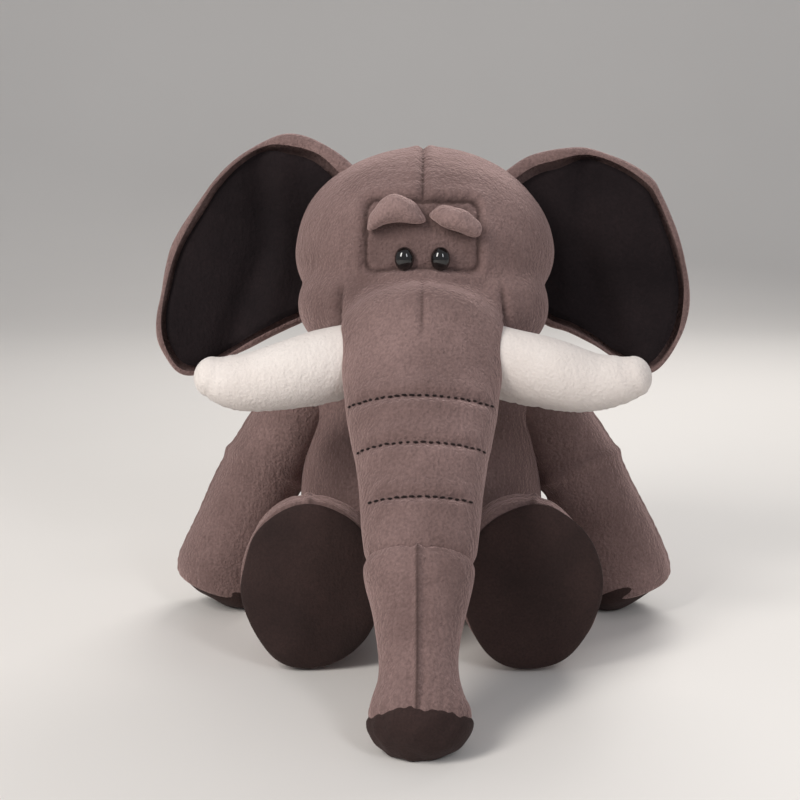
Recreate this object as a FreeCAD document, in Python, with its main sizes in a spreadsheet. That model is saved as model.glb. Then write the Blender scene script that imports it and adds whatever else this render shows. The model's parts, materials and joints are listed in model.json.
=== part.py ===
"""Sitting plush elephant: cloth shells, filling, eyes, tusks, pads and tail as separate solids.

Millimetres.  The origin is the middle of the flat seat on the table, Z points up and the elephant
faces -Y, so its own left side is +X.  Every limb hangs on a rounded root that turns in a socket.
"""
import FreeCAD, Part
import os
from FreeCAD import Placement, Rotation, Vector

doc = FreeCAD.newDocument("plush_elephant")

SIZES = [
    # cloth, filling and clearances
    ("cloth_thickness", "3"),
    ("filling_gap", "0.3"),
    ("socket_gap", "0.5"),
    # torso and neck
    ("torso_half_width", "66"),
    ("torso_half_depth", "54"),
    ("torso_height", "140"),
    ("neck_radius", "38"),
    ("neck_y", "4"),
    ("neck_z", "142"),
    ("neck_core_radius", "20"),
    ("seat_thickness", "3"),
    # head
    ("head_half_width", "70"),
    ("head_half_depth", "64"),
    ("head_half_height", "55"),
    ("head_y", "-5"),
    ("head_z", "205"),
    ("muzzle_half_width", "46"),
    ("muzzle_half_depth", "34"),
    ("muzzle_half_height", "30"),
    ("muzzle_y", "-54"),
    ("muzzle_z", "168"),
    # face
    ("eye_spacing", "18"),
    ("eye_width", "9.3"),
    ("eye_height", "11.5"),
    ("eye_bulge", "4"),
    ("eye_z", "205"),
    ("eye_shank_radius", "1.8"),
    ("eye_washer_radius", "6.5"),
    ("brow_length", "28"),
    ("patch_half_width", "29"),
    ("patch_bottom_z", "196"),
    ("patch_height", "38"),
    # tusks
    ("tusk_root_radius", "17"),
    ("tusk_root_x", "42"),
    ("tusk_y", "-79"),
    ("tusk_z", "157"),
    ("tusk_reach", "76"),
    ("tusk_sag", "10"),
    # trunk
    ("trunk_root_y", "-80"),
    ("trunk_root_z", "160"),
    ("trunk_half_width", "38"),
    ("trunk_half_depth", "27"),
    ("trunk_upper_length", "118"),
    ("trunk_upper_tilt", "42"),
    ("trunk_bend_y", "-159"),
    ("trunk_bend_z", "72.3"),
    ("trunk_bend_half_width", "25"),
    ("trunk_bend_half_depth", "22"),
    ("trunk_lower_length", "68.3"),
    ("trunk_lower_tilt", "34.5"),
    ("trunk_cap_length", "13"),
    ("stitch_width", "1.6"),
    # ears
    ("ear_half_length", "72"),
    ("ear_half_width", "48"),
    ("ear_lean", "29"),
    ("ear_centre_x", "92"),
    ("ear_centre_z", "200"),
    ("ear_hinge_x", "66"),
    ("ear_hinge_y", "8"),
    ("ear_cup_radius", "216"),
    ("ear_cloth", "3.2"),
    ("ear_batting", "2.6"),
    ("ear_lining", "2.2"),
    ("ear_rim", "7"),
    ("ear_root_radius", "4.2"),
    ("ear_head_gap", "4"),
    # arms
    ("shoulder_x", "62"),
    ("shoulder_y", "2"),
    ("shoulder_z", "127"),
    ("shoulder_radius", "19"),
    ("arm_length", "128.5"),
    ("arm_half_width", "24"),
    ("arm_half_depth", "23"),
    ("arm_splay", "26"),
    ("pad_thickness", "5"),
    # legs
    ("hip_x", "50"),
    ("hip_y", "-28"),
    ("hip_z", "40"),
    ("hip_radius", "30"),
    ("leg_length", "76"),
    ("leg_half_width", "35.5"),
    ("leg_half_height", "43.5"),
    ("leg_splay", "4"),
    ("sole_thickness", "5"),
    # tail
    ("tail_y", "57"),
    ("tail_z", "44"),
    ("tail_radius", "5"),
    ("tail_length", "34"),
    ("tail_tilt", "38"),
]

sheet = doc.addObject("Spreadsheet::Sheet", "dims")
for row, (alias, value) in enumerate(SIZES, start=1):
    sheet.set("A" + str(row), alias)
    sheet.set("B" + str(row), value)
    sheet.setAlias("B" + str(row), alias)
doc.recompute()

CLOTH = "dims.cloth_thickness"
FILLING = "(dims.cloth_thickness + dims.filling_gap)"
SOCKET = "(-dims.socket_gap)"
NONE = "0"
EVERYTHING = 600
SIDES = {"left": 1, "right": -1}
nodes = []


# ---- building blocks ---------------------------------------------------------------------------

def add(kind, name, sizes):
    """A document object whose sizes come from the sheet."""
    item = doc.addObject(kind, name)
    for prop, text in sizes.items():
        item.setExpression(prop, text)
    return item


def at(x="0", y="0", z="0"):
    """Expressions for a position."""
    return {"Placement.Base.x": x, "Placement.Base.y": y, "Placement.Base.z": z}


def turn(item, axis, angle):
    """Turn an object about an axis by an angle from the sheet (degrees)."""
    item.Placement = Placement(item.Placement.Base, Rotation(Vector(*axis), 10))
    item.setExpression("Placement.Rotation.Angle", angle)
    return item


def ball(name, radius, x="0", y="0", z="0", inset=NONE):
    sizes = {"Radius": f"{radius} - {inset}"}
    sizes.update(at(x, y, z))
    return add("Part::Sphere", name, sizes)


def egg(name, half_x, half_y, half_z, x="0", y="0", z="0", inset=NONE):
    """Ellipsoid with its three half sizes along X, Y and Z."""
    sizes = {
        "Radius1": f"{half_z} - {inset}",
        "Radius2": f"{half_x} - {inset}",
        "Radius3": f"{half_y} - {inset}",
    }
    sizes.update(at(x, y, z))
    return add("Part::Ellipsoid", name, sizes)


def rod(name, radius, height, x="0", y="0", z="0"):
    sizes = {"Radius": radius, "Height": height}
    sizes.update(at(x, y, z))
    return add("Part::Cylinder", name, sizes)


def block(name, length, width, height, x="0", y="0", z="0"):
    sizes = {"Length": length, "Width": width, "Height": height}
    sizes.update(at(x, y, z))
    return add("Part::Box", name, sizes)


def tube(name, stations, length, half_wide, half_deep, inset=NONE):
    """Smooth closed limb down the local Z axis: (along, wide, deep) as fractions of the sizes."""
    rings = []
    for number, (along, wide, deep) in enumerate(stations):
        sizes = {
            "MajorRadius": f"{half_wide} * {wide} - {inset}",
            "MinorRadius": f"{half_deep} * {deep} - {inset}",
            "Placement.Base.z": f"-{length} * {along}",
        }
        rings.append(add("Part::Ellipse", f"{name}_ring_{number}", sizes))
    loft = doc.addObject("Part::Loft", name)
    loft.Sections = rings
    loft.Solid = True
    return loft


def cut(name, base, *tools):
    """Take each tool away from the base in turn."""
    for number, tool in enumerate(tools):
        result = doc.addObject("Part::Cut", f"{name}_cut_{number}")
        result.Base = base
        result.Tool = tool
        base = result
    return base


def fuse(name, *items):
    result = doc.addObject("Part::MultiFuse", name)
    result.Shapes = list(items)
    return result


def common(name, *items):
    result = doc.addObject("Part::MultiCommon", name)
    result.Shapes = list(items)
    return result


def half_space(name, axis, sign):
    """Large block on one side of the origin along one axis (0, 1 or 2)."""
    corner = [-EVERYTHING, -EVERYTHING, -EVERYTHING]
    size = [2 * EVERYTHING] * 3
    size[axis] = EVERYTHING
    corner[axis] = 0 if sign > 0 else -EVERYTHING
    texts = [str(value) for value in size + corner]
    return block(name, *texts)


def mirrored(name, item):
    """The same shape on the other side of the middle plane."""
    result = doc.addObject("Part::Mirroring", name)
    result.Source = item
    result.Normal = Vector(1, 0, 0)
    result.Base = Vector(0, 0, 0)
    return result


def node(label, item):
    """Name a finished sub-part."""
    item.Label = label
    nodes.append(item)
    return item


def side_pair(label, item):
    """A finished sub-part of the elephant's left side and its mirror image on the right."""
    node(label + "_left", item)
    node(label + "_right", mirrored(label + "_mirror", item))


left_half = half_space("left_half", 0, 1)
right_half = half_space("right_half", 0, -1)
front_half = half_space("front_half", 1, -1)
back_half = half_space("back_half", 1, 1)


def split_left_right(label, item):
    """Two panels that meet in a seam down the middle."""
    panel = node(label + "_right", common(label + "_half", item, right_half))
    node(label + "_left", mirrored(label + "_mirror", panel))


# ---- shapes that neighbours are cut with ------------------------------------------------------

def head_egg(name, inset=NONE):
    return egg(name, "dims.head_half_width", "dims.head_half_depth", "dims.head_half_height",
               y="dims.head_y", z="dims.head_z", inset=inset)


def muzzle_egg(name, inset=NONE):
    return egg(name, "dims.muzzle_half_width", "dims.muzzle_half_depth", "dims.muzzle_half_height",
               y="dims.muzzle_y", z="dims.muzzle_z", inset=inset)


def neck_ball(name, radius="dims.neck_radius", inset=NONE):
    return ball(name, radius, y="dims.neck_y", z="dims.neck_z", inset=inset)


def trunk_root_egg(name, inset=NONE):
    """Round about X, so the trunk can swing in it."""
    return egg(name, "dims.trunk_half_width", "dims.trunk_half_depth", "dims.trunk_half_depth",
               inset=inset)


LEG_STATIONS = [
    (0.00, 0.66, 0.78),
    (0.16, 0.66, 0.79),
    (0.34, 0.71, 0.83),
    (0.64, 0.90, 0.93),
    (0.88, 0.99, 0.99),
    (1.00, 0.95, 0.95),
]


def leg_solid(name, inset=NONE):
    """Built lying forwards: the tube is turned so that its tall side stands upright."""
    rings = []
    for number, (along, wide, tall) in enumerate(LEG_STATIONS):
        sizes = {
            "MajorRadius": f"dims.leg_half_height * {tall} - {inset}",
            "MinorRadius": f"dims.leg_half_width * {wide} - {inset}",
            "Placement.Base.y": f"-dims.leg_length * {along}",
            "Placement.Base.z": f"(dims.leg_half_height + 1 - dims.hip_z) * {along}",
        }
        ring = add("Part::Ellipse", f"{name}_ring_{number}", sizes)
        upright = Rotation(Vector(1, 0, 0), 90) * Rotation(Vector(0, 0, 1), 90)
        ring.Placement = Placement(ring.Placement.Base, upright)
        rings.append(ring)
    loft = doc.addObject("Part::Loft", name + "_sleeve")
    loft.Sections = rings
    loft.Solid = True
    return fuse(name, loft, ball(name + "_root", "dims.hip_radius", inset=inset))


def set_leg(item):
    for prop, text in at("dims.hip_x", "dims.hip_y", "dims.hip_z").items():
        item.setExpression(prop, text)
    return turn(item, (0, 0, 1), "dims.leg_splay")


def thigh_room(side, sign):
    """Hollow in the torso for one thigh, from lying flat to fully lifted."""
    x = f"{sign} * dims.hip_x"
    root = ball("hip_room_" + side, "dims.hip_radius", x, "dims.hip_y", "dims.hip_z", SOCKET)
    thigh = egg("thigh_room_" + side, "33", "36", "46", x, "dims.hip_y - 18", "dims.hip_z + 6")
    return [root, thigh]


# ---- torso -------------------------------------------------------------------------------------

TORSO_STATIONS = [
    (0.00, 0.76, 0.76),
    (-0.06, 0.92, 0.92),
    (-0.30, 1.00, 1.00),
    (-0.60, 0.86, 0.90),
    (-0.84, 0.70, 0.77),
    (-1.00, 0.56, 0.68),
]


def torso_solid(name, inset=NONE):
    pear = tube(name + "_pear", TORSO_STATIONS, "dims.torso_height", "dims.torso_half_width",
                "dims.torso_half_depth", inset)
    return fuse(name, pear, neck_ball(name + "_neck", inset=inset))


def build_torso():
    sockets = []
    for side, sign in SIDES.items():
        sockets.extend(thigh_room(side, sign))
        sockets.append(ball("shoulder_room_" + side, "dims.shoulder_radius",
                            f"{sign} * dims.shoulder_x", "dims.shoulder_y", "dims.shoulder_z",
                            SOCKET))
    sockets.append(ball("tail_room", "dims.tail_radius", y="dims.tail_y", z="dims.tail_z",
                        inset=SOCKET))
    room = fuse("torso_rooms", *sockets)
    seat_line = block("seat_line", "300", "300", "dims.seat_thickness + dims.filling_gap",
                      "-150", "-150", "0")
    above_seat = block("above_seat", "300", "300", "300", "-150", "-150",
                       "dims.seat_thickness + dims.filling_gap")

    shell = cut("torso_shell", torso_solid("torso_outer"), torso_solid("torso_inner", CLOTH),
                seat_line, room)
    split_left_right("torso_panel", shell)

    seat = tube("seat_oval", [(0.0, 0.76, 0.76), (-1.0, 0.82, 0.82)], "dims.seat_thickness",
                     "dims.torso_half_width", "dims.torso_half_depth", "1")
    node("torso_seat_panel", cut("seat", seat, room))

    bag = egg("pellet_bag", "36", "30", "13", y="8", z="20")
    node("seat_pellet_bag", bag)
    bag_room = egg("pellet_bag_room", "36", "30", "13", y="8", z="20", inset="(-dims.filling_gap)")
    core_room = neck_ball("neck_core_room", "dims.neck_core_radius", SOCKET)
    filling = common("torso_filling", torso_solid("torso_filling_solid", FILLING), above_seat)
    node("torso_stuffing", cut("torso_fill", filling, room, bag_room, core_room))
    node("neck_stuffing", neck_ball("neck_core", "dims.neck_core_radius"))


# ---- head --------------------------------------------------------------------------------------

def eye_parts(side, sign):
    """Glossy dome with a shank through the cloth, and the locking washer behind it."""
    x = f"{sign} * dims.eye_spacing / 2"
    face_y = "dims.head_y - dims.head_half_depth * 0.985"
    dome = egg("eye_dome_" + side, "dims.eye_width / 2", "dims.eye_bulge", "dims.eye_height / 2",
               x, face_y, "dims.eye_z")
    shank = rod("eye_shank_" + side, "dims.eye_shank_radius", "15", x, face_y + " - 2.5",
                "dims.eye_z")
    shank.Placement = Placement(shank.Placement.Base, Rotation(Vector(1, 0, 0), -90))
    front = cut("eye_front_" + side, dome, head_egg("eye_back_" + side, "(-dims.filling_gap)"))
    node("eye_" + side, fuse("eye_whole_" + side, front, shank))

    washer = rod("washer_disc_" + side, "dims.eye_washer_radius", "1.5", x,
                 face_y + " + 8", "dims.eye_z")
    washer.Placement = Placement(washer.Placement.Base, Rotation(Vector(1, 0, 0), -90))
    hole = rod("washer_hole_" + side, "dims.eye_shank_radius + 0.2", "24", x, face_y + " - 4",
               "dims.eye_z")
    hole.Placement = Placement(hole.Placement.Base, Rotation(Vector(1, 0, 0), -90))
    node("eye_washer_" + side, cut("washer_" + side, washer, hole))

    pocket = rod("washer_pocket_" + side, "dims.eye_washer_radius + 0.3", "2.1", x,
                 face_y + " + 7.7", "dims.eye_z")
    pocket.Placement = Placement(pocket.Placement.Base, Rotation(Vector(1, 0, 0), -90))
    return hole, pocket


def build_head():
    neck_room = neck_ball("head_neck_room", inset="(-2 * dims.socket_gap)")
    trunk_room = trunk_root_egg("trunk_room", SOCKET)
    for prop, text in at(y="dims.trunk_root_y", z="dims.trunk_root_z").items():
        trunk_room.setExpression(prop, text)
    ear_rooms = []
    for side, sign in SIDES.items():
        ear_rooms.append(rod("ear_room_" + side, "dims.ear_root_radius + dims.socket_gap", "52",
                             f"{sign} * dims.ear_hinge_x", "dims.ear_hinge_y", "dims.head_z - 26"))
    rooms = fuse("head_rooms", neck_room, trunk_room, *ear_rooms)

    outer = head_egg("head_outer")
    inner = head_egg("head_inner", CLOTH)
    cloth = cut("head_cloth", outer, inner, rooms)
    patch_area = block("patch_area", "2 * dims.patch_half_width", "80", "dims.patch_height",
                       "-dims.patch_half_width", "-120", "dims.patch_bottom_z")
    patch_hole = block("patch_hole", "2 * dims.patch_half_width + 2 * dims.filling_gap", "80",
                       "dims.patch_height + 2 * dims.filling_gap",
                       "-dims.patch_half_width - dims.filling_gap", "-120",
                       "dims.patch_bottom_z - dims.filling_gap")
    split_left_right("head_panel", cut("head_skin", cloth, patch_hole))

    holes = []
    pockets = []
    for side, sign in SIDES.items():
        hole, pocket = eye_parts(side, sign)
        holes.append(hole)
        pockets.append(pocket)
    eye_holes = fuse("eye_holes", *holes)
    eye_pockets = fuse("eye_pockets", *pockets)
    patch = common("patch_piece", cloth, patch_area)
    node("face_patch", cut("patch", patch, eye_holes))
    node("head_stuffing", cut("head_fill", head_egg("head_filling", FILLING), rooms, eye_holes,
                              eye_pockets))

    head_room = head_egg("muzzle_back", "(-dims.filling_gap)")
    muzzle = cut("muzzle_shell", muzzle_egg("muzzle_outer"), muzzle_egg("muzzle_inner", CLOTH),
                 head_room, rooms)
    split_left_right("muzzle_panel", muzzle)
    node("muzzle_stuffing", cut("muzzle_fill", muzzle_egg("muzzle_filling", FILLING), head_room,
                                rooms))
    build_brows()
    build_tusks()


def build_brows():
    """Two padded brow pads, the right one plumper and higher, the left one slim and slanted."""
    face = head_egg("brow_back", "(-dims.filling_gap)")
    looks = {"right": (-12.5, 226.5, 7.2, 5.0, -6), "left": (16.5, 223.5, 5.4, 4.6, 21)}
    for side, (x, z, half_height, bulge, slant) in looks.items():
        pad = egg("brow_pad_" + side, "dims.brow_length / 2", str(bulge), str(half_height))
        pad.Placement = Placement(Vector(x, -64.5, z), Rotation(Vector(0, 1, 0), slant))
        for prop in ("Placement.Base.x", "Placement.Base.y", "Placement.Base.z"):
            pad.setExpression(prop, None)
        node("brow_" + side, cut("brow_shape_" + side, pad, face))


TUSK_STATIONS = [
    (0.00, 0.00, 1.00),
    (0.25, 0.62, 0.97),
    (0.50, 1.00, 0.90),
    (0.75, 0.92, 0.78),
    (0.92, 0.62, 0.60),
    (1.00, 0.50, 0.30),
]


def tusk_tube(name, inset=NONE):
    """(along, sag, thickness) as fractions; the tusk runs outwards along +X and dips."""
    rings = []
    for number, (along, sag, thick) in enumerate(TUSK_STATIONS):
        sizes = {"Radius": f"dims.tusk_root_radius * {thick} - {inset}"}
        sizes.update(at(f"dims.tusk_root_x + dims.tusk_reach * {along} * (1 - {inset} / 90)",
                        f"dims.tusk_y - 6 * {along}",
                        f"dims.tusk_z - dims.tusk_sag * {sag}"))
        ring = add("Part::Circle", f"{name}_ring_{number}", sizes)
        ring.Placement = Placement(ring.Placement.Base, Rotation(Vector(0, 1, 0), 90))
        rings.append(ring)
    loft = doc.addObject("Part::Loft", name)
    loft.Sections = rings
    loft.Solid = True
    return loft


def build_tusks():
    root_room = muzzle_egg("tusk_root_room", "(-dims.filling_gap)")
    head_room = head_egg("tusk_head_room", "(-dims.filling_gap)")
    shell = cut("tusk_shell", tusk_tube("tusk_outer"), tusk_tube("tusk_inner", "2.5"), root_room,
                head_room)
    side_pair("tusk_skin", shell)
    filling = cut("tusk_fill", tusk_tube("tusk_filling", "2.8"), root_room, head_room)
    side_pair("tusk_stuffing", filling)


# ---- trunk -------------------------------------------------------------------------------------

UPPER_STATIONS = [
    (0.00, 1.00, 1.00),
    (0.18, 0.97, 0.98),
    (0.36, 0.90, 0.94),
    (0.57, 0.82, 0.89),
    (0.76, 0.74, 0.85),
    (0.90, 0.68, 0.82),
]
LOWER_STATIONS = [
    (0.00, 1.00, 1.00),
    (0.22, 0.90, 0.92),
    (0.50, 0.76, 0.84),
    (0.67, 0.74, 0.84),
    (0.88, 0.88, 0.88),
    (1.00, 0.80, 0.82),
]


def upper_tube(name, inset=NONE):
    length = f"(dims.trunk_upper_length - {inset})"
    body = tube(name + "_tube", UPPER_STATIONS, length, "dims.trunk_half_width",
                "dims.trunk_half_depth", inset)
    return fuse(name, body, trunk_root_egg(name + "_root", inset))


def lower_root_egg(name, inset=NONE):
    return egg(name, "dims.trunk_bend_half_width", "dims.trunk_bend_half_depth",
               "dims.trunk_bend_half_depth", inset=inset)


def lower_tube(name, inset=NONE):
    body = tube(name + "_tube", LOWER_STATIONS, "dims.trunk_lower_length",
                "dims.trunk_bend_half_width", "dims.trunk_bend_half_depth", inset)
    return fuse(name, body, lower_root_egg(name + "_root", inset))


def hang_trunk(item, y, z, tilt):
    """Carry a finished trunk piece to its joint and tip it forwards."""
    item.setExpression("Placement.Base.y", y)
    item.setExpression("Placement.Base.z", z)
    return turn(item, (-1, 0, 0), tilt)


def hang_upper(item):
    return hang_trunk(item, "dims.trunk_root_y", "dims.trunk_root_z", "dims.trunk_upper_tilt")


def hang_lower(item):
    return hang_trunk(item, "dims.trunk_bend_y", "dims.trunk_bend_z", "dims.trunk_lower_tilt")


def build_trunk_upper():
    bend_room = lower_root_egg("bend_room", SOCKET)
    bend_room.setExpression("Placement.Base.z", "-dims.trunk_upper_length")
    shell = cut("upper_shell", upper_tube("upper_outer"), upper_tube("upper_inner", CLOTH),
                bend_room)
    for side, half in (("left", left_half), ("right", right_half)):
        panel = common("upper_half_" + side, shell, half)
        node("trunk_upper_panel_" + side, hang_upper(panel))
    filling = cut("upper_fill", upper_tube("upper_filling", FILLING), bend_room)
    node("trunk_upper_stuffing", hang_upper(filling))

    over = upper_tube("stitch_over", "(-0.9)")
    under = upper_tube("stitch_under", "(-0.1)")
    for number, (along, thread_half_width) in enumerate(((0.32, 31), (0.53, 28), (0.76, 23))):
        band = block(f"stitch_band_{number}", f"2 * {thread_half_width}", "60", "dims.stitch_width",
                     f"-{thread_half_width}", "-60",
                     f"-dims.trunk_upper_length * {along} - dims.stitch_width / 2")
        thread = cut(f"stitch_{number}", common(f"stitch_slice_{number}", over, band), under)
        node(f"trunk_wrinkle_stitch_{number + 1}", hang_upper(thread))


def build_trunk_lower():
    shell = cut("lower_shell", lower_tube("lower_outer"), lower_tube("lower_inner", CLOTH))
    for side, half in (("left", left_half), ("right", right_half)):
        panel = common("lower_half_" + side, shell, half)
        node("trunk_lower_panel_" + side, hang_lower(panel))
    node("trunk_lower_stuffing", hang_lower(lower_tube("lower_filling", FILLING)))

    dome = egg("cap_dome", "dims.trunk_bend_half_width * 0.8", "dims.trunk_bend_half_depth * 0.82",
               "dims.trunk_cap_length", z="-dims.trunk_lower_length")
    beyond = block("cap_side", "100", "100", "60", "-50", "-50",
                   "-dims.trunk_lower_length - dims.filling_gap - 60")
    node("trunk_tip_cap", hang_lower(common("cap", dome, beyond)))


# ---- ears --------------------------------------------------------------------------------------

def ear_fan(name, inset, near, far):
    """Slice of the cupped ear: outline drawn in by inset, between two depths behind its front."""
    oval = add("Part::Ellipse", name + "_oval", {
        "MajorRadius": f"dims.ear_half_length - {inset}",
        "MinorRadius": f"dims.ear_half_width - {inset}",
    })
    for prop, text in at("dims.ear_centre_x", "100", "dims.ear_centre_z").items():
        oval.setExpression(prop, text)
    upright = Rotation(Vector(1, 0, 0), 90)
    lean = Rotation(Vector(0, 0, 1), 90 + float(sheet.get("ear_lean")))
    oval.Placement = Placement(oval.Placement.Base, upright * lean)
    prism = doc.addObject("Part::Extrusion", name + "_prism")
    prism.Base = oval
    prism.DirMode = "Custom"
    prism.Dir = Vector(0, -1, 0)
    prism.LengthFwd = 200
    prism.Solid = True
    centre_y = "dims.ear_hinge_y + 4.2 - dims.ear_cup_radius"
    back = ball(name + "_back", "dims.ear_cup_radius", "dims.ear_centre_x + 6", centre_y,
                "dims.ear_centre_z", far)
    front = ball(name + "_front", "dims.ear_cup_radius", "dims.ear_centre_x + 6", centre_y,
                 "dims.ear_centre_z", near)
    return cut(name, common(name + "_slab", prism, back), front)


def build_ears():
    """Plush back rolled forward into a rim, thin batting, and the dark lining inside the rim."""
    thick = "(dims.ear_cloth + dims.ear_batting + dims.ear_lining + 2 * dims.filling_gap)"
    to_lining = "(dims.ear_cloth + dims.ear_batting + 2 * dims.filling_gap)"
    to_batting = "(dims.ear_cloth + dims.filling_gap)"
    head_room = head_egg("ear_head_room", "(-dims.ear_head_gap)")
    root_room = head_egg("ear_root_room", "(-3 * dims.ear_head_gap)")
    whole = ear_fan("ear_whole", "0", f"({thick} + 1)", "0")
    hollow = ear_fan("ear_hollow", "dims.ear_rim", f"({thick} + 3)", "dims.ear_cloth")
    hollow = cut("ear_hollow_open", hollow, root_room)
    root = rod("ear_root", "dims.ear_root_radius", "44", "dims.ear_hinge_x", "dims.ear_hinge_y",
               "dims.head_z - 22")
    back = fuse("ear_back_whole", cut("ear_back_shape", whole, hollow, head_room), root)
    side_pair("ear_back", back)
    edge = "(dims.ear_rim + dims.filling_gap)"
    pad_room = head_egg("ear_pad_room", "(-3 * dims.ear_head_gap - dims.filling_gap)")
    batting = ear_fan("ear_batting_fan", edge, f"({to_batting} + dims.ear_batting)", to_batting)
    side_pair("ear_batting", cut("ear_batting_shape", batting, pad_room))
    lining = ear_fan("ear_lining_fan", edge, thick, to_lining)
    side_pair("ear_lining", cut("ear_lining_shape", lining, pad_room))


# ---- arms and legs -----------------------------------------------------------------------------

ARM_STATIONS = [
    (0.00, 0.75, 0.77),
    (0.25, 0.82, 0.83),
    (0.60, 0.92, 0.93),
    (0.88, 1.00, 1.00),
    (1.00, 0.93, 0.93),
]


def arm_solid(name, inset=NONE):
    sleeve = tube(name + "_sleeve", ARM_STATIONS, "dims.arm_length", "dims.arm_half_width",
                  "dims.arm_half_depth", inset)
    return fuse(name, sleeve, ball(name + "_root", "dims.shoulder_radius", inset=inset))


def hang_arm(item):
    for prop, text in at("dims.shoulder_x", "dims.shoulder_y", "dims.shoulder_z").items():
        item.setExpression(prop, text)
    return turn(item, (0, -1, 0), "dims.arm_splay")


def build_arms():
    shell = cut("arm_shell", arm_solid("arm_outer"), arm_solid("arm_inner", CLOTH))
    side_pair("arm_panel_front", hang_arm(common("arm_front", shell, front_half)))
    side_pair("arm_panel_back", hang_arm(common("arm_back", shell, back_half)))
    side_pair("arm_stuffing", hang_arm(arm_solid("arm_filling", FILLING)))
    dome = egg("paw_dome", "dims.arm_half_width * 0.93", "dims.arm_half_depth * 0.93",
               "dims.pad_thickness", z="-dims.arm_length")
    beyond = block("paw_side", "100", "100", "60", "-50", "-50",
                   "-dims.arm_length - dims.filling_gap - 60")
    side_pair("paw_pad", hang_arm(common("paw", dome, beyond)))


def build_legs():
    shell = cut("leg_shell", leg_solid("leg_outer"), leg_solid("leg_inner", CLOTH))
    side_pair("leg_panel_outer", set_leg(common("leg_out", shell, left_half)))
    side_pair("leg_panel_inner", set_leg(common("leg_in", shell, right_half)))
    side_pair("leg_stuffing", set_leg(leg_solid("leg_filling", FILLING)))
    dome = egg("sole_dome", "dims.leg_half_width * 0.95", "dims.sole_thickness",
               "dims.leg_half_height * 0.95", y="-dims.leg_length",
               z="dims.leg_half_height + 1 - dims.hip_z")
    beyond = block("sole_side", "200", "60", "200", "-100",
                   "-dims.leg_length - dims.filling_gap - 60", "-100")
    side_pair("sole", set_leg(common("sole_shape", dome, beyond)))


# ---- tail --------------------------------------------------------------------------------------

def hang_tail(item):
    item.setExpression("Placement.Base.y", "dims.tail_y")
    item.setExpression("Placement.Base.z", "dims.tail_z")
    return turn(item, (1, 0, 0), "dims.tail_tilt")


def build_tail():
    stations = [(0.0, 1.0, 1.0), (0.5, 0.84, 0.84), (1.0, 0.7, 0.7)]
    cord = tube("tail_tube", stations, "dims.tail_length", "dims.tail_radius", "dims.tail_radius",
                "0.1")
    node("tail_skin", hang_tail(fuse("tail", cord, ball("tail_root", "dims.tail_radius"))))
    tuft = [(1.01, 0.9, 0.9), (1.15, 1.2, 1.2), (1.3, 0.7, 0.7)]
    node("tail_tuft", hang_tail(tube("tuft_tube", tuft, "dims.tail_length", "dims.tail_radius",
                                     "dims.tail_radius")))


# ---- everything together -----------------------------------------------------------------------

build_torso()
build_head()
build_trunk_upper()
build_trunk_lower()
build_ears()
build_arms()
build_legs()
build_tail()
doc.recompute()

for item in doc.Objects:
    if "Invalid" in item.State or "Error" in item.State:
        raise RuntimeError(item.Name + " did not compute: " + str(item.State))
for item in nodes:
    if item.Shape.isNull() or not item.Shape.isValid():
        raise RuntimeError(item.Label + " is not a sound shape")

os.makedirs("parts", exist_ok=True)
for item in nodes:
    item.Shape.exportStep("parts/" + item.Label + ".step")
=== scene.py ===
"""Looks of the sitting plush elephant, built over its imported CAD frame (metres, same axes)."""
import json
import math

import bmesh
import bpy
import numpy as np
from mathutils import Matrix, Vector
from mathutils.bvhtree import BVHTree


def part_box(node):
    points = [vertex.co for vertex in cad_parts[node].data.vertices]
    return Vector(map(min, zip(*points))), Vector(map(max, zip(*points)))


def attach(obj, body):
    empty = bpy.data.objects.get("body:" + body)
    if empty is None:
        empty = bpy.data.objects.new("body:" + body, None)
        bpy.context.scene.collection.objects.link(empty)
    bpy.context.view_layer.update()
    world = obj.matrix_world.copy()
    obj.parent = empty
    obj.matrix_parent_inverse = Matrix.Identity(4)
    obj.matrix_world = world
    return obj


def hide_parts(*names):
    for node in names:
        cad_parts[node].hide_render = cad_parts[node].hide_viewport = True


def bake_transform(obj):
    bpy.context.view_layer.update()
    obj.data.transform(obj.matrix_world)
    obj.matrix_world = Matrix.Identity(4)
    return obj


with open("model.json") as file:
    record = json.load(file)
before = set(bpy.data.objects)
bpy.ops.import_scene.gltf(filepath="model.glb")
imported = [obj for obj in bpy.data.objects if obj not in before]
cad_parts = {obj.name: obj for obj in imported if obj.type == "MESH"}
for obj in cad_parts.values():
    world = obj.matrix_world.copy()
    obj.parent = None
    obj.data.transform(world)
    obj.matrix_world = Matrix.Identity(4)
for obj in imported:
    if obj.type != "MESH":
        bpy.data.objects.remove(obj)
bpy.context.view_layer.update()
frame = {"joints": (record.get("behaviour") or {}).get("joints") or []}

joints = {j["name"]: np.array(j["pos_m"]) for j in frame["joints"] if "pos_m" in j}
SIDES = {"left": 1.0, "right": -1.0}
LENS_MM, SENSOR_MM = 65.2, 36
CAMERA_PLACE = (0.004, -0.797, 0.268)
CAMERA_PITCH_DOWN, CAMERA_HEADING = 10.5, 1.2


# ---- measures taken from the frame -------------------------------------------------------------

def span(*nodes):
    """Lowest and highest corner of several CAD nodes together."""
    corners = [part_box(n) for n in nodes]
    lows = np.array([list(c[0]) for c in corners]).min(0)
    highs = np.array([list(c[1]) for c in corners]).max(0)
    return lows, highs


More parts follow.
